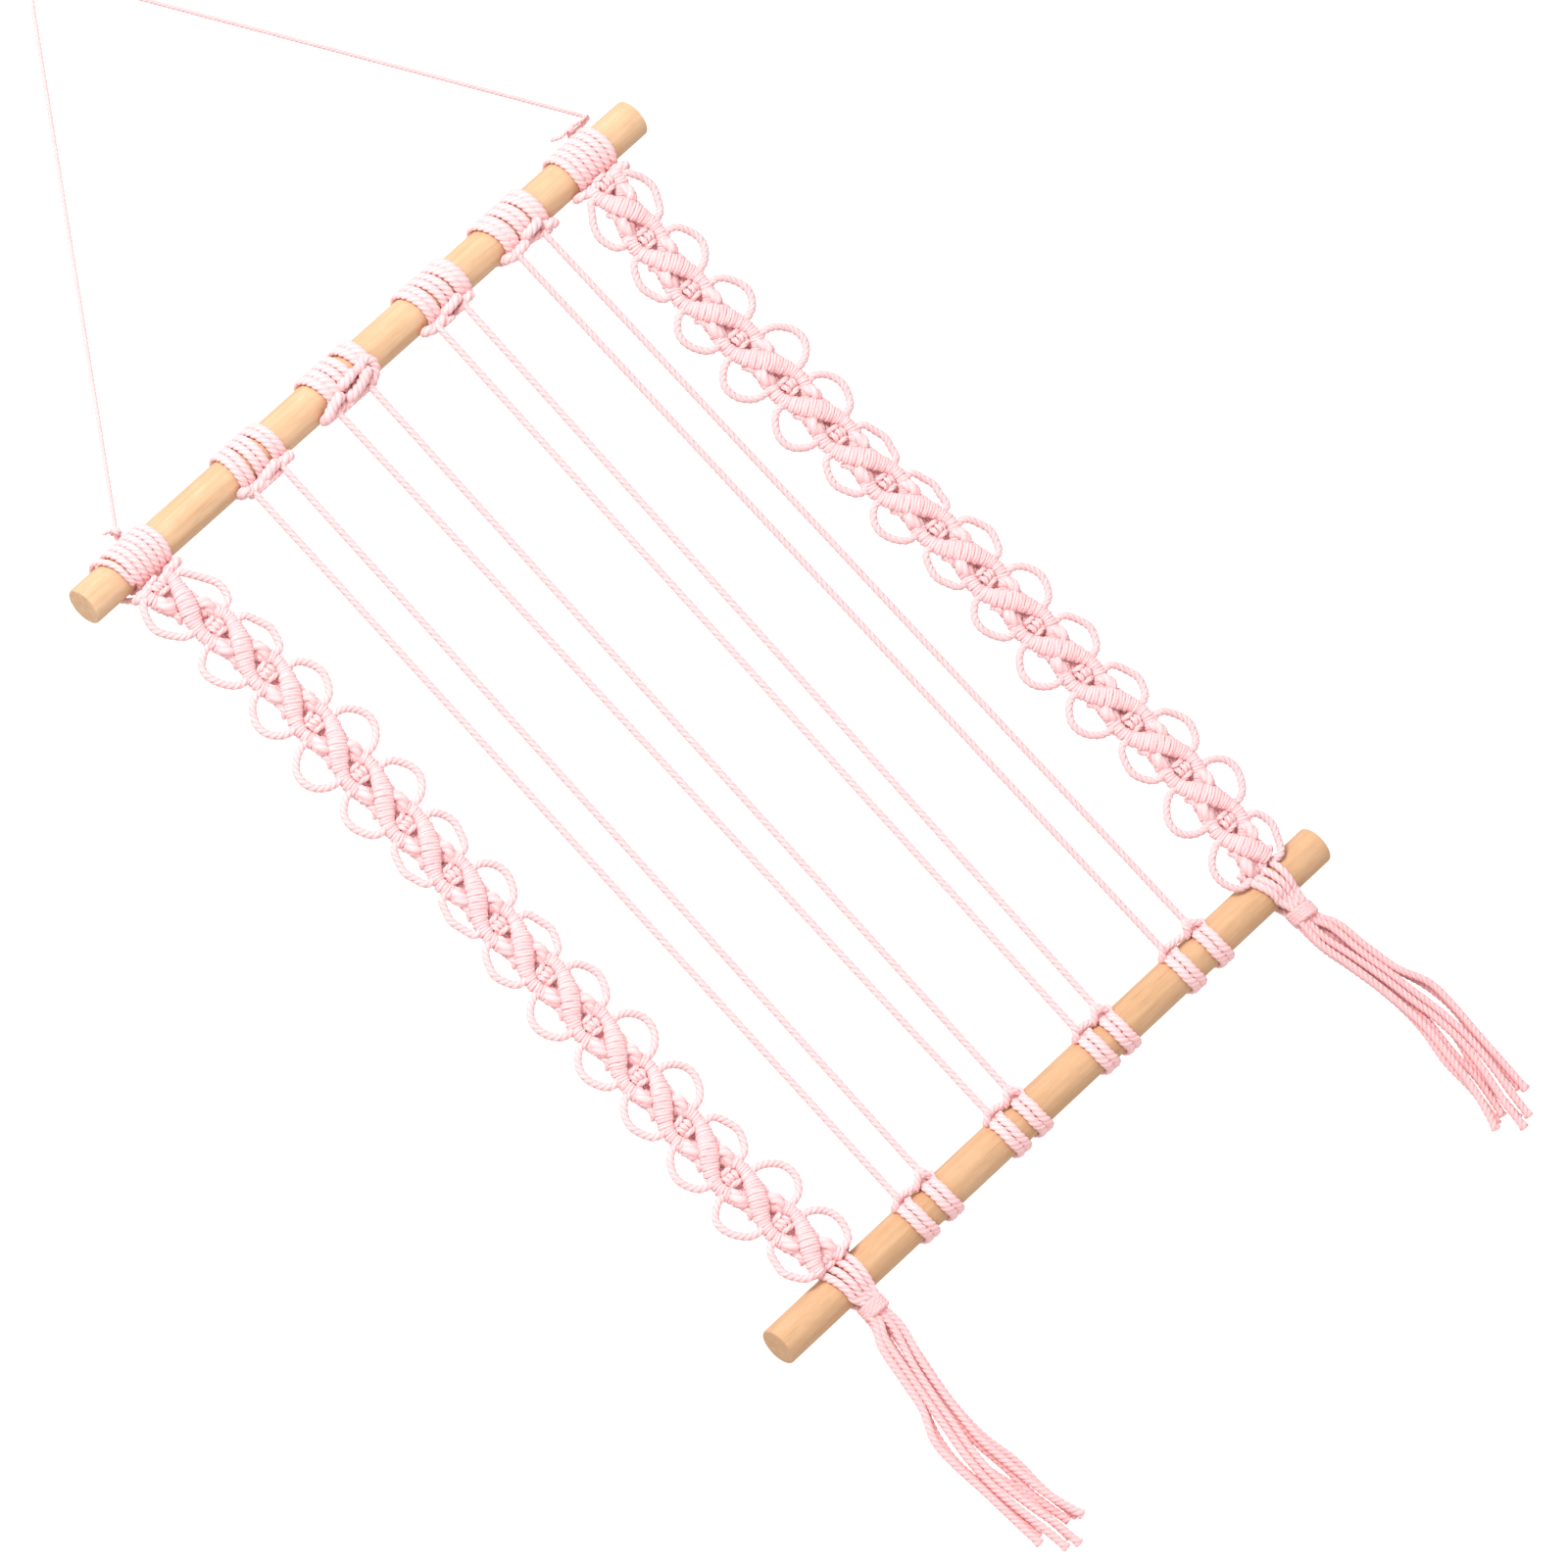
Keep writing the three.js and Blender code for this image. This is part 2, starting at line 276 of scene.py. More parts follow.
def finish_rope(rope, name, body, *nodes, tone="pale"):
    """Makes a rope's piece, which rides on a body (if given) and stands for the CAD nodes."""
    piece = rope.make(name, ROPE_MATERIALS[tone])
    if body:
        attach(piece, body)
    if nodes:
        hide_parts(*nodes)
    return piece


# ---- Materials

def new_material(name):
    material = bpy.data.materials.new(name)
    material.use_nodes = True
    tree = material.node_tree
    shader = tree.nodes["Principled BSDF"]
    return material, tree, shader


def add_node(tree, kind, inputs=None, **settings):
    """Adds a shader node. Each input is a number, a colour or another node's output."""
    node = tree.nodes.new(kind)
    for key, value in settings.items():
        setattr(node, key, value)
    for key, value in (inputs or {}).items():
        if isinstance(value, bpy.types.NodeSocket):
            tree.links.new(value, node.inputs[key])
        else:
            node.inputs[key].default_value = value
    return node


def mix(tree, factor, a, b, blend="MIX"):
    node = add_node(tree, "ShaderNodeMix", data_type="RGBA", blend_type=blend)
    for socket, value in ((node.inputs[0], factor), (node.inputs[6], a), (node.inputs[7], b)):
        if isinstance(value, bpy.types.NodeSocket):
            tree.links.new(value, socket)
        else:
            socket.default_value = value
    return node.outputs[2]


def ramp(tree, factor, stops):
    node = add_node(tree, "ShaderNodeValToRGB", {"Fac": factor})
    elements = node.color_ramp.elements
    while len(elements) < len(stops):
        elements.new(0.5)
    for element, (position, colour) in zip(elements, stops):
        element.position = position
        element.color = colour
    return node.outputs["Color"]


def rope_material(name, tint):
    """Soft pink cotton: fine fibres along each ply, and painted shade that darkens the colour down between
    the plies.
    """
    material, tree, shader = new_material(name)

    def tone_of(red, green, blue):
        return (red, green * tint, blue * tint, 1)

    along = add_node(tree, "ShaderNodeAttribute", attribute_name="rope").outputs["Vector"]
    groove = add_node(tree, "ShaderNodeAttribute", attribute_name="groove").outputs["Fac"]
    stretched = add_node(
        tree, "ShaderNodeMapping", {"Vector": along, "Scale": (0.16, 1.5, 1.5)}
    ).outputs["Vector"]
    fibres = add_node(
        tree, "ShaderNodeTexNoise",
        {"Vector": stretched, "Scale": 1.6, "Detail": 5, "Roughness": 0.65},
    ).outputs["Fac"]
    patches = add_node(
        tree, "ShaderNodeTexNoise", {"Vector": along, "Scale": 0.12, "Detail": 2},
    ).outputs["Fac"]
    tone = ramp(tree, fibres, [(0.34, tone_of(0.89, 0.485, 0.49)), (0.64, tone_of(0.96, 0.645, 0.64))])
    tone = mix(tree, ramp(tree, patches, [(0.35, (0, 0, 0, 1)), (0.7, (0.5, 0.5, 0.5, 1))]),
               tone, tone_of(0.94, 0.565, 0.565))
    # painted shade: the colour turns a darker, redder pink towards the bottom of each groove between the
    # plies
    deep = ramp(tree, groove, [(0.45, (0, 0, 0, 1)), (1.0, (0.5, 0.5, 0.5, 1))])
    colour = mix(tree, deep, tone, tone_of(0.85, 0.36, 0.40))
    tree.links.new(colour, shader.inputs["Base Color"])
    bump = add_node(
        tree, "ShaderNodeBump", {"Height": fibres, "Strength": 0.5, "Distance": 0.00025}
    )
    tree.links.new(bump.outputs["Normal"], shader.inputs["Normal"])
    shader.inputs["Roughness"].default_value = 0.95
    shader.inputs["Specular IOR Level"].default_value = 0.15
    shader.inputs["Sheen Weight"].default_value = 0.25
    shader.inputs["Sheen Roughness"].default_value = 0.6
    shader.inputs["Sheen Tint"].default_value = (1, 0.85, 0.87, 1)
    return material


def wood_material(name, shade):
    """Sanded beech: pale and blotchy, with soft grain and a few dark streaks along the dowel."""
    material, tree, shader = new_material(name)
    place = add_node(tree, "ShaderNodeTexCoord").outputs["Object"]

    def noise(scale, detail, roughness=0.5):
        stretched = add_node(
            tree, "ShaderNodeMapping", {"Vector": place, "Scale": scale}
        ).outputs["Vector"]
        return add_node(
            tree, "ShaderNodeTexNoise",
            {"Vector": stretched, "Scale": 1, "Detail": detail, "Roughness": roughness},
        ).outputs["Fac"]

    def tint(red, green, blue):
        return (red * shade[0], green * shade[1], blue * shade[2], 1)

    grain = noise((22, 420, 420), 5, 0.62)
    blotches = noise((160, 420, 420), 3)
    cloud = noise((26, 26, 26), 2)
    streaks = noise((46, 1500, 1500), 1)
    base = ramp(tree, grain, [(0.32, tint(0.60, 0.345, 0.185)), (0.68, tint(0.74, 0.46, 0.28))])
    base = mix(tree, ramp(tree, cloud, [(0.35, (0, 0, 0, 1)), (0.7, (0.4, 0.4, 0.4, 1))]),
               base, tint(0.76, 0.49, 0.31))
    base = mix(tree, ramp(tree, blotches, [(0.45, (0, 0, 0, 1)), (0.75, (0.5, 0.5, 0.5, 1))]),
               base, tint(0.60, 0.35, 0.19))
    marks = ramp(tree, streaks, [(0.68, (0, 0, 0, 1)), (0.8, (0.5, 0.5, 0.5, 1))])
    colour = mix(tree, marks, base, tint(0.36, 0.17, 0.075))
    tree.links.new(colour, shader.inputs["Base Color"])
    bump = add_node(
        tree, "ShaderNodeBump", {"Height": blotches, "Strength": 0.35, "Distance": 0.0003}
    )
    tree.links.new(bump.outputs["Normal"], shader.inputs["Normal"])
    shader.inputs["Roughness"].default_value = 0.6
    shader.inputs["Specular IOR Level"].default_value = 0.3
    return material


ROPE_MATERIALS = {
    "pale": rope_material("pink_cotton_rope", 1.0),
    "deep": rope_material("deep_pink_cotton_rope", 0.88),
}
TOP_WOOD = wood_material("sanded_beech", (1.0, 1.03, 1.04))
# painted shade: the bottom dowel gets a darker, more saturated copy of the beech, standing in for the
# dimmer light lower down
BOTTOM_WOOD = wood_material("beech_with_painted_shade", (0.86, 0.83, 0.78))


# ---- Hanging cord

CORD = 1.7  # the hanging cord's diameter
CORD_LAY = 5.4
NAIL_RADIUS = 1.2
# Where the cord comes out of its two knots, behind the mounts' tops
LEFT_TIE = np.array([SHIFT - 117.5, 5.5, TOP[2] + 13.2])
RIGHT_TIE = np.array([SHIFT + 139.2, 5.5, TOP[2] + 11.6])


def add_hanging_cord():
    """Straight up from one knot, over the nail and straight down to the other."""
    reach = NAIL_RADIUS + CORD / 2
    angles = np.linspace(-0.95, 0.95, 9)
    over_nail = np.column_stack([
        reach * np.sin(angles), np.zeros(9), CORD / 2 - reach + reach * np.cos(angles),
    ])
    route = np.vstack([
        np.linspace(LEFT_TIE, over_nail[0], 60),
        over_nail[1:-1],
        np.linspace(over_nail[-1], RIGHT_TIE, 60),
    ])
    rope = RopePiece(1)
    line = rope.add(route, CORD, hand=-1, lay=CORD_LAY, step=0.8, ply_points=4)
    piece = finish_rope(rope, "hanging_rope", "hanger", "hanging_cord")


def add_tie(name, knot, legs, tail, *nodes):
    """A small knot on the cord with its free end, and two legs that hold the mount from behind."""
    x, y, z = knot
    rope = RopePiece(name)
    t = np.linspace(0, 1, 90)
    turns = np.column_stack([
        x - 1.3 + 2.6 * t,
        y + 1.1 * np.cos(2 * TAU * t),
        z + 1.1 * np.sin(2 * TAU * t),
    ])
    for line in (turns, smooth(legs, 0.6), smooth(tail, 0.6)):
        rope.add(line, CORD, hand=-1, lay=CORD_LAY, step=0.6, ply_points=4)
    finish_rope(rope, name, "hanger", *nodes)


def add_ties():
    x, y, z = LEFT_TIE
    legs = [
        (x + 0.4, y, z), (x + 0.7, y + 1.8, z - 1.6), (x + 0.4, y + 4.2, z - 6), (x - 0.4, y + 4.2, z - 6),
        (x - 0.7, y + 1.8, z - 1.6), (x - 0.4, y, z),
    ]
    tail = [(x, y, z), (x - 1.6, y - 0.8, z + 1.4), (x - 4.6, y - 1, z + 2.6)]
    add_tie("left_tie", LEFT_TIE, legs, tail, "hanging_cord_left_knot")
    x, y, z = RIGHT_TIE
    knot = RIGHT_TIE + (-9.5, -0.6, 0.9)
    legs = [
        RIGHT_TIE, (x - 3.4, y + 0.8, z - 0.6), (x - 8.6, y + 1.4, z - 0.8), (x - 9.4, y + 3.4, z - 5),
        (x - 10.4, y + 3.2, z - 4), (x - 10.4, y + 1, z - 0.2), (x - 8.4, y - 0.6, z + 1),
    ]
    tail = [
        (x - 0.2, y - 0.6, z + 0.8), (x - 4.4, y - 1.2, z + 0.9), (x - 9.4, y - 1.3, z + 1.6),
        (x - 14.6, y - 1.4, z + 1.3), (x - 18.4, y - 1.4, z + 2.8),
    ]
    add_tie("right_tie", knot, legs, tail, "hanging_cord_right_knot", "hanging_cord_right_tail")


# ---- Tassels

STRAND_ROPE = 3.3  # the loosened rope of the tassels and over the bottom dowel
LANE = 1.75  # how far forward or back of the knot's middle a strand hangs
KNOT_START = 1.0  # where a strand leaves its knot, under the knot's middle
# Each strand: how far forward it hangs, then its route across (outwards) and down
TASSEL_STRANDS = [
    (LANE, [(3.5, 5.6), (6.9, 11), (8.7, 16), (10.5, 27), (13, 40), (18.3, 52), (18.7, 64), (17.5, 78),
            (16.6, 92), (15.6, 106)]),
    (-LANE, [(3.2, 6.6), (6.6, 16), (9, 27), (11.2, 40), (15, 52), (16.4, 64), (14.8, 78),
             (13.4, 92), (12.6, 104)]),
    (LANE, [(1.4, 5.6), (4.3, 11), (5.7, 16), (7.4, 27), (9.6, 40), (11.4, 52), (13.2, 64), (13.7, 78),
            (12.3, 92), (10.2, 104), (8.8, 114)]),
    (LANE, [(-1.2, 5.6), (-0.8, 11), (0.6, 16), (3.9, 27), (6.4, 40), (8.1, 52), (10, 64), (10.4, 78),
            (8.2, 92), (5.6, 104), (4, 116)]),
    (-LANE, [(1.4, 6.6), (3.4, 16), (5.4, 27), (7.4, 40), (9.2, 52), (10.2, 64), (8.4, 76),
             (5.6, 86), (4.6, 100), (3.4, 112)]),
    (LANE, [(-3.4, 5.6), (-3.6, 11), (-2.8, 16), (0.2, 27), (2.3, 40), (3.7, 52), (4.3, 64), (2.6, 78),
            (0.4, 92), (-2.6, 103), (-4.8, 109)]),
    (-LANE, [(-3.0, 6.6), (-3.4, 16), (-1.8, 27), (0.5, 40), (1.6, 52), (1.2, 64), (-1.4, 78),
             (-1.7, 92), (-3.4, 104), (-4.4, 108)]),
    (-LANE, [(-1.0, 6.6), (-0.4, 16), (1.8, 27), (4, 40), (5.2, 52), (4.8, 64), (3.2, 78),
             (3.0, 90), (0.6, 103), (-0.6, 107)]),
]
# How much the strands move outwards per millimetre down and per millimetre forward.
TASSEL_LEAN = {"left": (0, 0), "right": (0.032, -0.9)}


def add_tassel(side):
    """Eight strands that hang from the gathering knot, each with its own frayed end."""
    x, y, z = node_middle(f"{side}_gathering_knot")
    lean, fan = TASSEL_LEAN[side]
    for number, (forward, route) in enumerate(TASSEL_STRANDS, 1):
        points = [(x + SIDES[side] * route[0][0] * 0.8, y - forward, z - KNOT_START)]
        for across, down in route:
            outward = across + lean * down + fan * forward * between(down, 5, 25)
            points.append((x + SIDES[side] * outward, y - forward, z - down))
        rope = RopePiece(f"{side} {number}")
        line = rope.add(smooth(points, 0.8), STRAND_ROPE, HAND[side], flare=0.3)
        piece = finish_rope(
            rope, f"{side}_tassel_{number}", None, f"{side}_tassel_strand_{number}", tone="deep"
        )
        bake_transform(piece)


add_hanging_cord()
add_ties()
for side in SIDES:
    add_tassel(side)


# ---- Dowels

def add_dowel(name, centre, node, body, material):
    """A turned bar along X with softly rounded ends."""
    half, rounding = DOWEL_LENGTH / 2, 0.7
    profile = [(-half, 0), (-half, 0.5 * DOWEL_RADIUS), (-half, DOWEL_RADIUS - rounding)]
    for turn in np.linspace(0, math.pi / 2, 5)[1:]:
        profile.append((-half + rounding * (1 - math.cos(turn)),
                        DOWEL_RADIUS - rounding * (1 - math.sin(turn))))
    profile += [(x, DOWEL_RADIUS) for x in np.linspace(-half + 10, half - 10, 15)]
    profile += [(-x, r) for x, r in reversed(profile[:7])]
    sides = 72
    corners, faces = [], []
    for x, r in profile:
        for k in range(sides):
            angle = TAU * k / sides
            spoke = np.array([0, math.cos(angle), math.sin(angle)])
            corners.append(centre + (x, 0, 0) + r * spoke)
    for i in range(len(profile) - 1):
        for k in range(sides):
            a, b = i * sides + k, i * sides + (k + 1) % sides
            faces.append((a, a + sides, b + sides, b))
    mesh = bpy.data.meshes.new(name)
    mesh.from_pydata(np.array(corners) * MM, [], faces)
    mesh.validate()
    piece = link(name, mesh, material)
    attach(piece, body)
    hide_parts(node)


add_dowel("top_bar", TOP, "top_dowel", "hanger", TOP_WOOD)
add_dowel("bottom_bar", BOTTOM, "bottom_dowel", "curtain", BOTTOM_WOOD)


# ---- Rope round the dowels

def outwards_from(centre):
    """Directions away from a dowel's axis."""
    def directions(line):
        away = (line - centre) * (0, 1, 1)
        return away / np.linalg.norm(away, axis=1)[:, None]
    return directions


def add_wrap(rope, centre, width, stops, hand=-1, lift=0.0):
    """Rope round a dowel through stops: (degrees from the back and upwards, place along the dowel).
    lift is how far it stands off the wood at its start."""
    degrees = np.linspace(stops[0][0], stops[-1][0], 90)
    x = smooth_between(degrees, stops)
    reach = WRAP_REACH + lift * np.linspace(1, 0, 90) ** 2
    turn = np.radians(degrees)
    line = np.column_stack([x, centre[1] + reach * np.cos(turn), centre[2] + reach * np.sin(turn)])
    rope.add(line, width, hand, lay=8.0, flat=(outwards_from(centre), WRAP_THICKNESS / width))


def bar_point(x, z, thickness):
    """A point in front of the top dowel's wraps, at a height above its axis."""
    reach = WRAP_OUTER + thickness / 2 - 0.6
    y = -math.sqrt(max(reach**2 - z**2, 6.4**2))
    return np.array([SHIFT + x, y, TOP[2] + z])


def add_bar(rope, thickness, *route, hand=-1):
    """A rope lying over the wraps through (place, height) points, diving between them at its ends."""
    crossing = [bar_point(x, z, thickness) for x, z in route]
    first, last = crossing[0], crossing[-1]
    start, end = first - crossing[1], last - crossing[-2]
    points = [first + 1.1 * start / np.linalg.norm(start) + (0, 4.4, 0.4), *crossing,
              last + 1.1 * end / np.linalg.norm(end) + (0, 4.4, 0.4)]
    rope.add(smooth(points, 0.6), thickness, hand, lay=7.6, taper=0.35)


# Each warp cord's hitch on the top dowel. Places along the dowel are from its middle. Six passes lie
# in three pairs, whose edges are given at the top of the wood and at its lower front. Each bar is
# its thickness and then its places and heights above the dowel's axis.
HEAD_HITCHES = [
    {
        "tops": [(-72.5, -65.2), (-65.2, -57.8), (-57.8, -50.5)],
        "feet": [(-73.4, -66.6), (-65.3, -58.1), (-56.1, -49.9)],
        "bars": [
            (2.8, (-70.4, -11.3), (-58.4, -11.3)),
            (4.4, (-54.6, -9.4), (-51.0, -9.3)),
            (4.5, (-63.7, -9.2), (-61, -8.6), (-58.1, -8.2)),
            (4.4, (-74.2, -8.6), (-72, -9.6), (-67.0, -9.8)),
        ],
    },
    {
        "tops": [(-26.6, -18.0), (-18.0, -10.2), (-8.6, 0.2)],
        "feet": [(-24.6, -17.8), (-17.2, -9.4), (-6.6, -0.4)],
        "bars": [
            (2.9, (-22, -9.9), (-6, -10.0)),
            (4.7, (-16.4, -8.2), (-10, -7.1), (-6.2, -5.2)),
            (4.1, (-7.6, -2.5), (-4.8, -1.5), (-2.6, -2.3), (-1.6, -4.6), (-2.9, -7.4), (-6.0, -9.2)),
            (4.1, (-16.4, -3.2), (-11.4, -2.3)),
            (3.4, (-27.6, -9.2), (-20, -9.0)),
            (4.5, (-29.2, -8.4), (-27.2, -7.4), (-24.6, -6.4), (-21.2, -5.8)),
        ],
    },
    {
        "tops": [(26.2, 33.5), (33.5, 40.9), (41.2, 50.4)],
        "feet": [(28.4, 34.8), (36.0, 43.4), (44.8, 50.8)],
        "bars": [
            (2.5, (33, -11.2), (36.6, -11.2)),
            (2.5, (40.6, -10.9), (43.6, -10.8)),
            (3.8, (44.2, -9.5), (47.8, -9.5)),
            (4.1, (36.3, -8.1), (41.8, -7.3)),
            (4.2, (25.4, -9.2), (28, -9.9), (33.1, -9.5)),
        ],
    },
    {
        "tops": [(68.0, 76.4), (76.8, 84.4), (84.8, 93.4)],
        "feet": [(71.4, 77.8), (79.2, 86.0), (87.6, 93.2)],
        "bars": [
            (2.8, (81.8, -9.3), (89.8, -11.0)),
            (4.3, (90, -9.1), (93.6, -10.0)),
            (4.2, (81.4, -6.9), (86.8, -6.2)),
            (4.3, (69.6, -9.0), (72, -9.6), (78.0, -9.0)),
        ],
    },
]


def add_head_hitch(number, hitch):
    """Six passes round the top dowel, and the bars that cross under them."""
    rope = RopePiece(f"head {number}")
    for (top_from, top_to), (foot_from, foot_to) in zip(hitch["tops"], hitch["feet"]):
        for member in (0.25, 0.75):
            at_top = SHIFT + top_from + member * (top_to - top_from)
            at_foot = SHIFT + foot_from + member * (foot_to - foot_from)
            width = max(3.7, (top_to - top_from) / 2 + 0.15)
            stops = [(-112, at_foot), (0, at_top), (85, at_top), (210, at_foot), (248, at_foot)]
            add_wrap(rope, TOP, width, stops)
    for bar in hitch["bars"]:
        add_bar(rope, *bar)
    finish_rope(rope, f"head_hitch_{number}", "curtain", f"warp_cord_{number}_head_hitch")


# Each warp cord: the tops and feet of its two strands, and the middles of its two foot hitches,
# along the dowels from their middle.
WARPS = [
    {"hand": -1, "tops": (-71.5, -56.1), "feet": (-77.3, -63.6), "hitches": (-77.2, -63.8)},
    {"hand": -1, "tops": (-24.5, -7.8), "feet": (-27.1, -14.8), "hitches": (-26.4, -14.2)},
    {"hand": -1, "tops": (29.1, 43), "feet": (22.2, 34.3), "hitches": (23.2, 34.9)},
    {"hand": 1, "tops": (73.2, 87.1), "feet": (70.6, 85.2), "hitches": (71.7, 87.2)},
]


def add_warp_strands(number, warp):
    """The cord's two taut strands, in front of the dowels."""
    y = -(DOWEL_RADIUS + 0.4)
    for strand, top, foot in zip(("left", "right"), warp["tops"], warp["feet"]):
        rope = RopePiece(f"strand {number} {strand}")
        line = np.linspace((SHIFT + top, y + 0.6, TOP[2] - 10), (SHIFT + foot, y, BOTTOM[2] + 9.6), 60)
        rope.add(line, TAUT_ROPE, warp["hand"], lay=TAUT_LAY, step=1.4)
        finish_rope(
            rope, f"warp_strand_{number}_{strand}", "curtain", f"warp_cord_{number}_{strand}_strand"
        )


def add_foot_hitches(number, warp):
    """Two passes under each strand. A bar on top of the wood joins the left pair to the right strand."""
    rope = RopePiece(f"foot {number}")
    left, right = (SHIFT + middle for middle in warp["hitches"])
    pass_width = 3.95
    for middle in (left, right):
        for member in (-1.95, 1.95):
            back = middle + 0.9 * member + 3.4
            stops = [
                (96, back), (150, middle + member), (190, middle + member), (272, back), (456, back),
            ]
            add_wrap(rope, BOTTOM, pass_width, stops)
    left_foot, right_foot = (SHIFT + foot for foot in warp["feet"])
    top = BOTTOM[2] + DOWEL_RADIUS
    routes = [
        # the left strand's foot, bent over its pair
        [(left_foot + 0.1, -8, top + 4.2), (left_foot - 0.6, -7.6, top + 2.2),
         (left - 2.4, -6.4, top + 0.4), (left - 2.8, -4.4, top - 0.4)],
        # the bar along the wood
        [(left_foot + 0.2, -5.8, top + 1.4), (left_foot + 2.4, -6.6, top + 2.2),
         (left + 4.6, -6.2, top + 1.8), (right - 4.6, -5.6, top + 0.9), (right - 2.6, -4.4, top - 0.2)],
        # the right strand's two legs
        [(right_foot + 0.2, -8.1, top + 5.4), (right_foot - 1.4, -8.3, top + 3.6),
         (right - 3.4, -7.2, top + 1.2), (right - 4.6, -5.0, top - 0.4)],
        [(right_foot, -8.2, top + 5.4), (right_foot + 0.9, -8.2, top + 3.4),
         (right + 2.2, -7, top + 0.9), (right + 2.7, -5.2, top + 0.2)],
    ]
    for route in routes:
        rope.add(smooth(route, 0.6), 2.9, -1, taper=0.2)
    finish_rope(
        rope, f"foot_hitches_{number}", "curtain", f"warp_cord_{number}_left_foot_hitch",
        f"warp_cord_{number}_right_foot_hitch", f"warp_cord_{number}_foot_link",
    )


for number, (warp, hitch) in enumerate(zip(WARPS, HEAD_HITCHES), 1):
    add_head_hitch(number, hitch)
    add_warp_strands(number, warp)
    add_foot_hitches(number, warp)


# ---- Knotted bands

BAND_Y = -7.0  # the bands' middle plane
BAND_START = 11.0  # below the top dowel's axis
BAND_END = TOP[2] - BOTTOM[2] - DOWEL_RADIUS - 1
RIB_SWING = 6.1  # how far a rib's middle swings to each side
RIB_FORWARD = 2.1  # how far the front rib stands forward where the ribs cross, and the other one back
RIB_CORE = 4.2
RIB_HALF_DEPTH = 1.8  # to the middle of the yarn wound round the rib
RIB_YARN = 1.75  # the rope is pulled so tight round a rib that its plies lie side by side
RIB_PITCH = 1.2  # from one ply round a rib to the next
# Each band: its first loop's middle below the top dowel's axis, the length of a loop, and the band's
# wandering middle as (distance below the axis, place along the dowels from their middle).
BANDS = {
    "left": {
        "first": 25.6,
        "pitch": 25.36,
        "middles": [(0, -127.5), (15, -125.2), (40, -119.4), (65, -117.2), (140, -118.4),
                    (220, -118.9), (315, -120.4), (345, -117.6), (375, -113.8)],
    },
    "right": {
        "first": 24.8,
        "pitch": 25.7,
        "middles": [(0, 120.8), (15, 119.3), (40, 116.3), (65, 115), (140, 118.4), (220, 123),
                    (270, 124.5), (320, 127.6), (345, 126.4), (375, 122.8)],
    },
}
# How far the picot at each loop reaches from the band's middle, from the top down
OUTER_PICOTS = (15, 17, 17.5, 19, 16.5, 13.5, 13, 15, 17, 16, 15.5, 16, 17.5, 14.5)
INNER_PICOTS = (15.5, 14.5, 16.5, 18.5, 18, 15, 16.5, 14.5, 16, 18, 17.5, 15.5, 18.5, 17)
# Rope in a band, as routes and diameters. Each point is outwards from the band's middle, forward of
# its middle plane, and down from the middle of a loop or a berry.
LUMPS = [
    ([(3.2, -1.0, -8.6), (4.6, 0.9, -6.6), (5.0, 1.7, -4.6), (4.5, 1.6, -2.9), (3.9, 0.2, -1.8)], 5.0),
    ([(6.2, -1.4, -6.8), (6.2, 0.3, -4.8), (5.5, 1.0, -2.4), (4.4, 0.8, -0.8)], 2.9),
    ([(5.6, -1.2, -1.8), (5.3, 0.4, 0.0), (5.7, 0.2, 2.0), (6.6, -1.4, 3.4)], 2.9),
]
BERRY = [
    ([(-2.4, -1.4, -3.2), (-1.3, 0.9, -2.9), (1.3, 0.9, -2.7), (2.4, -1.4, -2.6)], 2.4),
    ([(-1.7, -1.0, -1.6), (-1.8, 1.3, -0.6), (-1.7, 1.3, 0.9), (-1.5, -1.0, 1.9)], 2.5),
    ([(0.3, -0.6, -1.7), (0.5, 1.7, -0.7), (0.4, 1.7, 0.8), (0.2, -0.6, 1.8)], 2.3),
    ([(2.4, -1.0, -1.4), (2.3, 1.2, -0.4), (2.2, 1.2, 0.8), (2.0, -1.0, 2.0)], 2.4),
    ([(-2.5, -1.4, 2.7), (-1.3, 0.9, 3.0), (1.3, 0.9, 2.8), (2.4, -1.4, 2.5)], 2.4),
]


def band_middle(side, down):
    """X of the band's middle at a distance below the top dowel's axis."""
    return SHIFT + smooth_between(np.atleast_1d(down), BANDS[side]["middles"])


def on_band(side, points):
    """Points in the frame from places on a band: outwards from its middle, forward of its middle
    plane, and below the top dowel's axis."""
    across, forward, down = np.asarray(points, float).T
    x = band_middle(side, down) + SIDES[side] * across
    return np.column_stack([x, BAND_Y - forward, TOP[2] - down])


def on_band_at(side, middle, route):
    """A smooth line on a band through a route whose heights are from middle."""
    return on_band(side, smooth(route, 0.6) + (0, 0, middle))


def wind_round(line, half_width, turn_hand):
    """A flattened coil round a line, with its wide sides to the front and back. half_width is its
    size at each of the line's points. Its turns lie in pairs, and some are slacker than others."""
    tangents = np.gradient(line, axis=0)
    tangents /= np.linalg.norm(tangents, axis=1)[:, None]
    flatwise = np.cross(tangents, (0, 1, 0))
    depthwise = np.cross(flatwise, tangents)
    along = np.concatenate([[0], np.cumsum(np.linalg.norm(np.diff(line, axis=0), axis=1))])
    turn = np.arange(0, along[-1] / RIB_PITCH, 1 / 12)
    where = np.clip(RIB_PITCH * (turn + 0.1 * np.sin(math.pi * turn)), 0, along[-1])
    sample = np.clip(np.searchsorted(along, where), 0, len(line) - 1)
    across = half_width[sample] + 0.2 * np.sin(0.7 * math.pi * turn)
    angle = TAU * turn * turn_hand
    return (
        line[sample]
        + (across * np.cos(angle))[:, None] * flatwise[sample]
        + (RIB_HALF_DEPTH * np.sin(angle))[:, None] * depthwise[sample]
    )


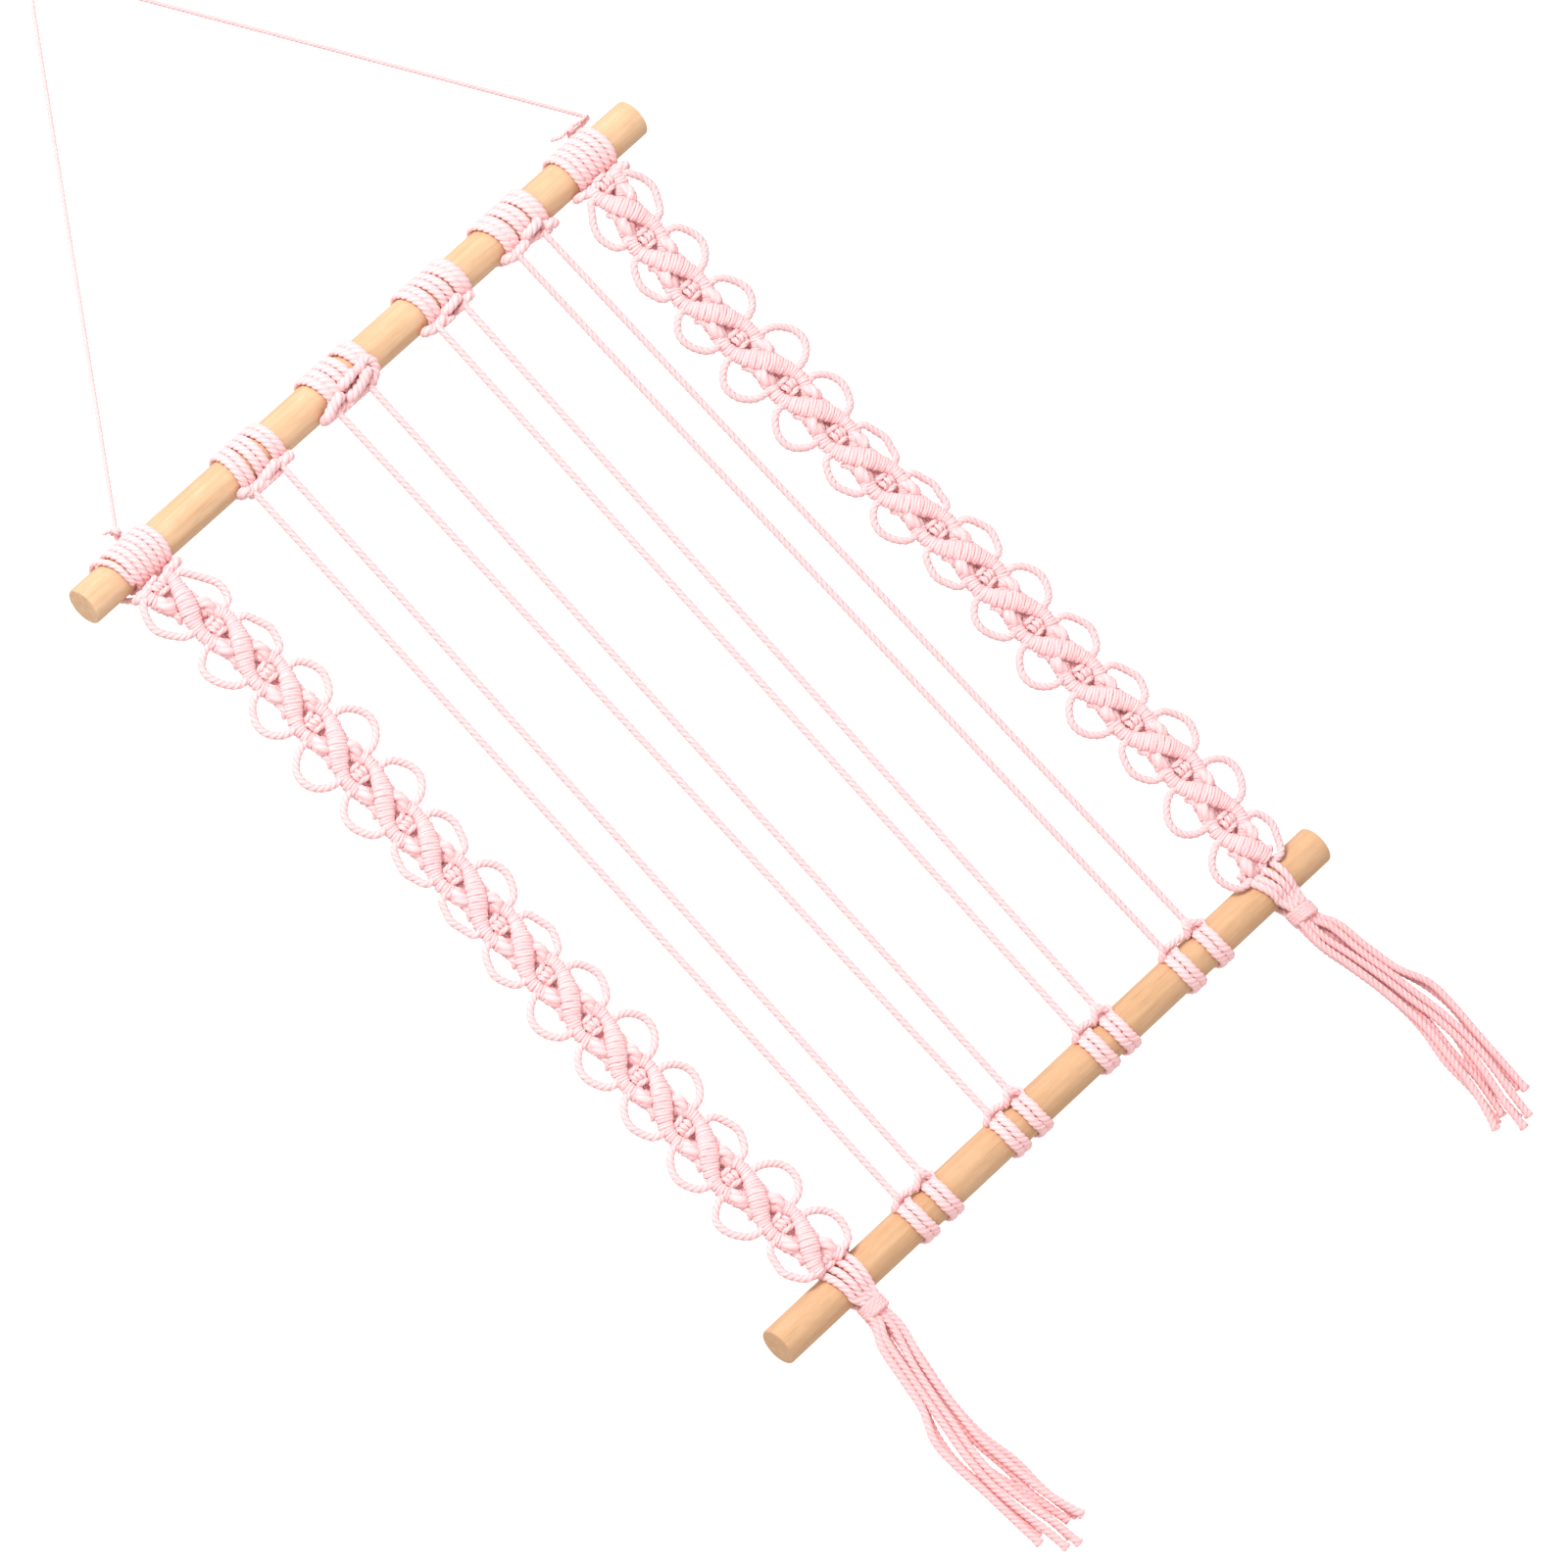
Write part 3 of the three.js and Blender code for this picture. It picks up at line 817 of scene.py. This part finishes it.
def add_ribs(side):
    """Two ribs wound with rope, which swing from edge to edge and cross at the middle of every loop."""
    band = BANDS[side]
    rope = RopePiece(f"ribs {side}")
    down = np.arange(BAND_START, BAND_END, 0.25)
    phase = math.pi * (down - band["first"]) / band["pitch"]
    for sense in (-1, 1):
        line = on_band(side, np.column_stack([
            sense * RIB_SWING * np.sin(phase), sense * RIB_FORWARD * np.cos(phase)**3, down,
        ]))
        rope.add(line, RIB_CORE, HAND[side], ply_points=3, step=1.6)
        half_width = 2.85 + 0.75 * np.cos(2 * phase)  # widest where the ribs cross
        coil = wind_round(line, half_width, SIDES[side])
        rope.add(coil, RIB_YARN, HAND[side], lay=60, ply_points=2, step=1.4, groove_depth=0.05)
    finish_rope(rope, f"{side}_braid_ribs", "curtain", f"{side}_band_braid")


def add_loops(side):
    """The picots at both edges, and the lumps of rope that fill the band between picots and ribs."""
    band = BANDS[side]
    rope = RopePiece(f"loops {side}")
    chance = random.Random(f"loop shapes {side}")
    for i, reaches in enumerate(zip(INNER_PICOTS, OUTER_PICOTS)):
        for edge, reach in zip((-1, 1), reaches):
            middle = band["first"] + i * band["pitch"] + chance.uniform(-0.6, 0.6)
            lean = chance.uniform(-1.2, 1.2)
            start = -10.6 if i == 0 else -8.8
            picot = [
                (6.4, -0.2, start), (9.4, 0.7, start - 0.6), (0.5 * reach + 4.4, 0.6, -7.8),
                (reach - 1.0, 0, -4.0 + lean), (reach, 0, 0.2 + lean),
                (reach - 1.3, 0, 4.5 + lean * 0.5), (0.5 * reach + 4.2, 0.3, 8.1), (9, 0.7, 9.4),
                (6.2, -0.2, 9.0),
            ]
            turned = [(across * edge, forward, down) for across, forward, down in picot]
            rope.add(on_band_at(side, middle, turned), 3.2, HAND[side], ply_points=5, step=0.95)
            # folded rope above the front rib at its outer edge, and below it at its inner edge
            for route, diameter in LUMPS:
                turned = []
                for across, forward, down in route:
                    x = across * edge + chance.uniform(-0.2, 0.2)
                    turned.append((x, forward, down * edge + chance.uniform(-0.3, 0.3)))
                rope.add(
                    on_band_at(side, middle, turned), diameter, HAND[side], lay=2.3 * diameter,
                    ply_points=4, taper=0.3,
                )
    finish_rope(rope, f"{side}_braid_loops", "curtain")


def add_berries(side):
    """The small square knots between the ribs, and the cords that run on behind them."""
    band = BANDS[side]
    rope = RopePiece(f"berries {side}")
    chance = random.Random(f"berry shapes {side}")
    last = len(OUTER_PICOTS)
    for i in range(last + 1):
        # the last berry is higher and further back, clear of the bottom dowel
        rise, back = (5.0, 1.6) if i == last else (0, 0)
        middle = band["first"] + (i - 0.5) * band["pitch"] - rise
        tilt = chance.uniform(-0.12, 0.12)
        for route, diameter in BERRY:
            turned = [
                (across + tilt * down, forward - back, down - tilt * across)
                for across, forward, down in route
            ]
            rope.add(on_band_at(side, middle, turned), diameter, HAND[side], ply_points=4, step=0.85)
    down = np.arange(BAND_START, BAND_END, 1.0)
    for across, forward in ((-2.3, -2.3), (0, -2.8), (2.3, -2.3)):
        sway = across + 0.4 * np.sin(down / 3.1 + across)
        cord = np.column_stack([sway, np.full(len(down), forward), down])
        rope.add(on_band(side, cord), 3.6, HAND[side], ply_points=4, step=1.2)
    finish_rope(rope, f"{side}_braid_berries", "curtain")


# Each band's mount on the top dowel: the edges of its passes from the dowels' middle, how many there
# are, and its bars as for the head hitches.
MOUNTS = {
    "left": {
        "edges": (-134.4, -111.2),
        "passes": 7,
        "bars": [
            (3.8, (-124.6, -12.0), (-120.2, -12.2)),
            (4.0, (-116.8, -11.0), (-112.8, -10.8)),
            (3.9, (-133.6, -11.7), (-128.0, -11.2)),
        ],
    },
    "right": {
        "edges": (110.7, 132.2),
        "passes": 6,
        "bars": [
            (3.8, (121.2, -11.0), (124.6, -11.0)),
            (4.2, (127.6, -10.7), (131.0, -11.8)),
            (3.7, (109, -9.8), (112, -10.4), (117.4, -10.4)),
        ],
    },
}


def add_mount(side):
    """Passes side by side round the top dowel. The left mount's first pass is thin and loose."""
    rope = RopePiece(f"mount {side}")
    low, high = MOUNTS[side]["edges"]
    count = MOUNTS[side]["passes"]
    width = (high - low) / count
    for i in range(count):
        middle = SHIFT + low + width * (i + 0.5)
        loose = side == "left" and i == 0
        slant = 2.8 if loose else 0.7
        gather = 0.1 * (SHIFT + (low + high) / 2 - middle)
        stops = [
            (-112, middle + gather), (20, middle - slant), (80, middle - slant), (190, middle),
            (222 if loose else 250, middle + gather),
        ]
        add_wrap(rope, TOP, 2.6 if loose else width * 1.06, stops, lift=2.0 if loose else 0)
    for bar in MOUNTS[side]["bars"]:
        add_bar(rope, *bar)
    finish_rope(rope, f"{side}_mount_rope", "curtain", f"{side}_band_mount")


# How far each gathering knot stands from the middle of its place
KNOT_SHIFT = {"left": 1.2, "right": 0.4}
KNOT_RISE = {"left": -0.4, "right": -0.5}
KNOT_TILT = {"left": 0.0, "right": -0.5}  # how much higher a knot's turns are on its right
KNOT_TURNS = 4.4
KNOT_HEIGHT = 5.2  # from the first turn's middle to the last one's
KNOT_HALF_WIDTH = 4.6
KNOT_HALF_DEPTH = 4.4
KNOT_ROPE = 2.5
# The strands over the bottom dowel: the middle of their tops from the knot's middle, and where they
# lie at the dowel's top and under it, from their middle.
DOWEL_STRANDS = {
    "left": {"start": -1.2, "tops": (-5.7, -1.6, 2.6, 6.1), "feet": (-4.4, -1.3, 1.9, 4.7)},
    "right": {"start": -2.4, "tops": (-6.3, -3.3, 1.4, 6.0), "feet": (-4.4, -1.6, 1.2, 4.0)},
}
BACK_ASIDE = 3.4  # how far the strands behind the dowel stand to the right of those in front


def add_dowel_strands(side):
    """Eight strands from the band's foot: four pass in front of the bottom dowel, four behind."""
    rope = RopePiece(f"over dowel {side}")
    knot = node_middle(f"{side}_gathering_knot") + (KNOT_SHIFT[side], 0, 0)
    strands = DOWEL_STRANDS[side]
    top_middle = knot[0] + strands["start"]
    reach = DOWEL_RADIUS + 1.4
    for top, foot in zip(strands["tops"], strands["feet"]):
        for front in (1, -1):
            aside = 0 if front == 1 else BACK_ASIDE
            x_top, x_low = top_middle + top + aside, knot[0] - 0.8 + foot + aside
            points = [(x_top + 0.1 * top, -5.6, BOTTOM[2] + 11)]
            for degrees in range(125, 206, 16):
                turn = math.radians(degrees)
                x = x_top + (x_low - x_top) * between(degrees, 125, 225)
                points.append((x, front * reach * math.cos(turn), BOTTOM[2] + reach * math.sin(turn)))
            x = knot[0] + 0.7 * foot
            points += [
                (x_low, -front * 7.0, BOTTOM[2] - 6.4),
                (x, knot[1] - front * 3.0, knot[2] + 3.4),
                (x, knot[1] - front * 1.6, knot[2]),
            ]
            rope.add(smooth(points, 0.8), STRAND_ROPE, HAND[side], lay=8.4)
    piece = finish_rope(
        rope, f"{side}_over_dowel", None, f"{side}_band_front_strands", f"{side}_band_back_strands"
    )
    x, y, z = knot * MM
    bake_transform(piece)


def add_gathering_wraps(side):
    """Turns of rope round the strands under the dowel."""
    rope = RopePiece(f"gathering {side}")
    x, y, z = node_middle(f"{side}_gathering_knot") + (KNOT_SHIFT[side], 0, KNOT_RISE[side])
    turn = np.linspace(0, KNOT_TURNS, 200)
    angle = TAU * turn
    line = np.column_stack([
        x + KNOT_HALF_WIDTH * np.cos(angle),
        y + KNOT_HALF_DEPTH * np.sin(angle),
        z + KNOT_HEIGHT * (0.5 - turn / KNOT_TURNS) + KNOT_TILT[side] * np.cos(angle),
    ])
    rope.add(line, KNOT_ROPE, HAND[side], groove_depth=0.12)
    finish_rope(rope, f"{side}_gathering_rope", f"{side}_knot", f"{side}_gathering_knot", tone="deep")


for side in SIDES:
    add_mount(side)
    add_ribs(side)
    add_loops(side)
    add_berries(side)
    add_dowel_strands(side)
    add_gathering_wraps(side)


# ---- Floor and light

def add_floor():
    """A pale floor well under the hanger, in metres."""
    mesh = bpy.data.meshes.new("floor")
    half, height = 2.0, -1.4
    corners = [(-half, -half, height), (half, -half, height), (half, half, height), (-half, half, height)]
    mesh.from_pydata(corners, [], [(0, 1, 2, 3)])
    material, _, shader = new_material("pale_floor")
    shader.inputs["Base Color"].default_value = (0.7, 0.7, 0.7, 1)
    shader.inputs["Roughness"].default_value = 0.9
    floor = link("floor", mesh, material)


def add_area_light(name, place, size, power):
    """A square soft light at a place in metres, aimed at the middle of the bands."""
    data = bpy.data.lights.new(name, "AREA")
    data.size = size
    data.energy = power
    lamp = bpy.data.objects.new(name, data)
    lamp.location = place
    aim = Vector((SHIFT, 0, TOP[2] - 190)) * MM - Vector(place)
    lamp.rotation_euler = aim.to_track_quat("-Z", "Y").to_euler()
    bpy.context.scene.collection.objects.link(lamp)


def add_world():
    """White all round near the horizon, softer above and below."""
    world = bpy.data.worlds.new("white_studio")
    world.use_nodes = True
    tree = world.node_tree
    background = tree.nodes["Background"]
    direction = add_node(tree, "ShaderNodeTexCoord").outputs["Generated"]
    height = add_node(tree, "ShaderNodeSeparateXYZ", {"Vector": direction}).outputs["Z"]
    place = add_node(
        tree, "ShaderNodeMapRange", {"Value": height, "From Min": -1.0, "From Max": 1.0}
    ).outputs["Result"]
    shade = ramp(tree, place, [
        (0.0, (0.42, 0.42, 0.42, 1)), (0.40, (0.42, 0.42, 0.42, 1)), (0.45, (1, 1, 1, 1)),
        (0.55, (1, 1, 1, 1)), (0.62, (0.62, 0.62, 0.62, 1)), (1.0, (0.8, 0.8, 0.8, 1)),
    ])
    tree.links.new(shade, background.inputs["Color"])
    background.inputs["Strength"].default_value = 1.15
    bpy.context.scene.world = world
    bpy.context.scene.view_settings.view_transform = "Standard"


add_floor()
add_area_light("key", (-1.0, -3.2, 2.3), 1.6, 176)
add_world()
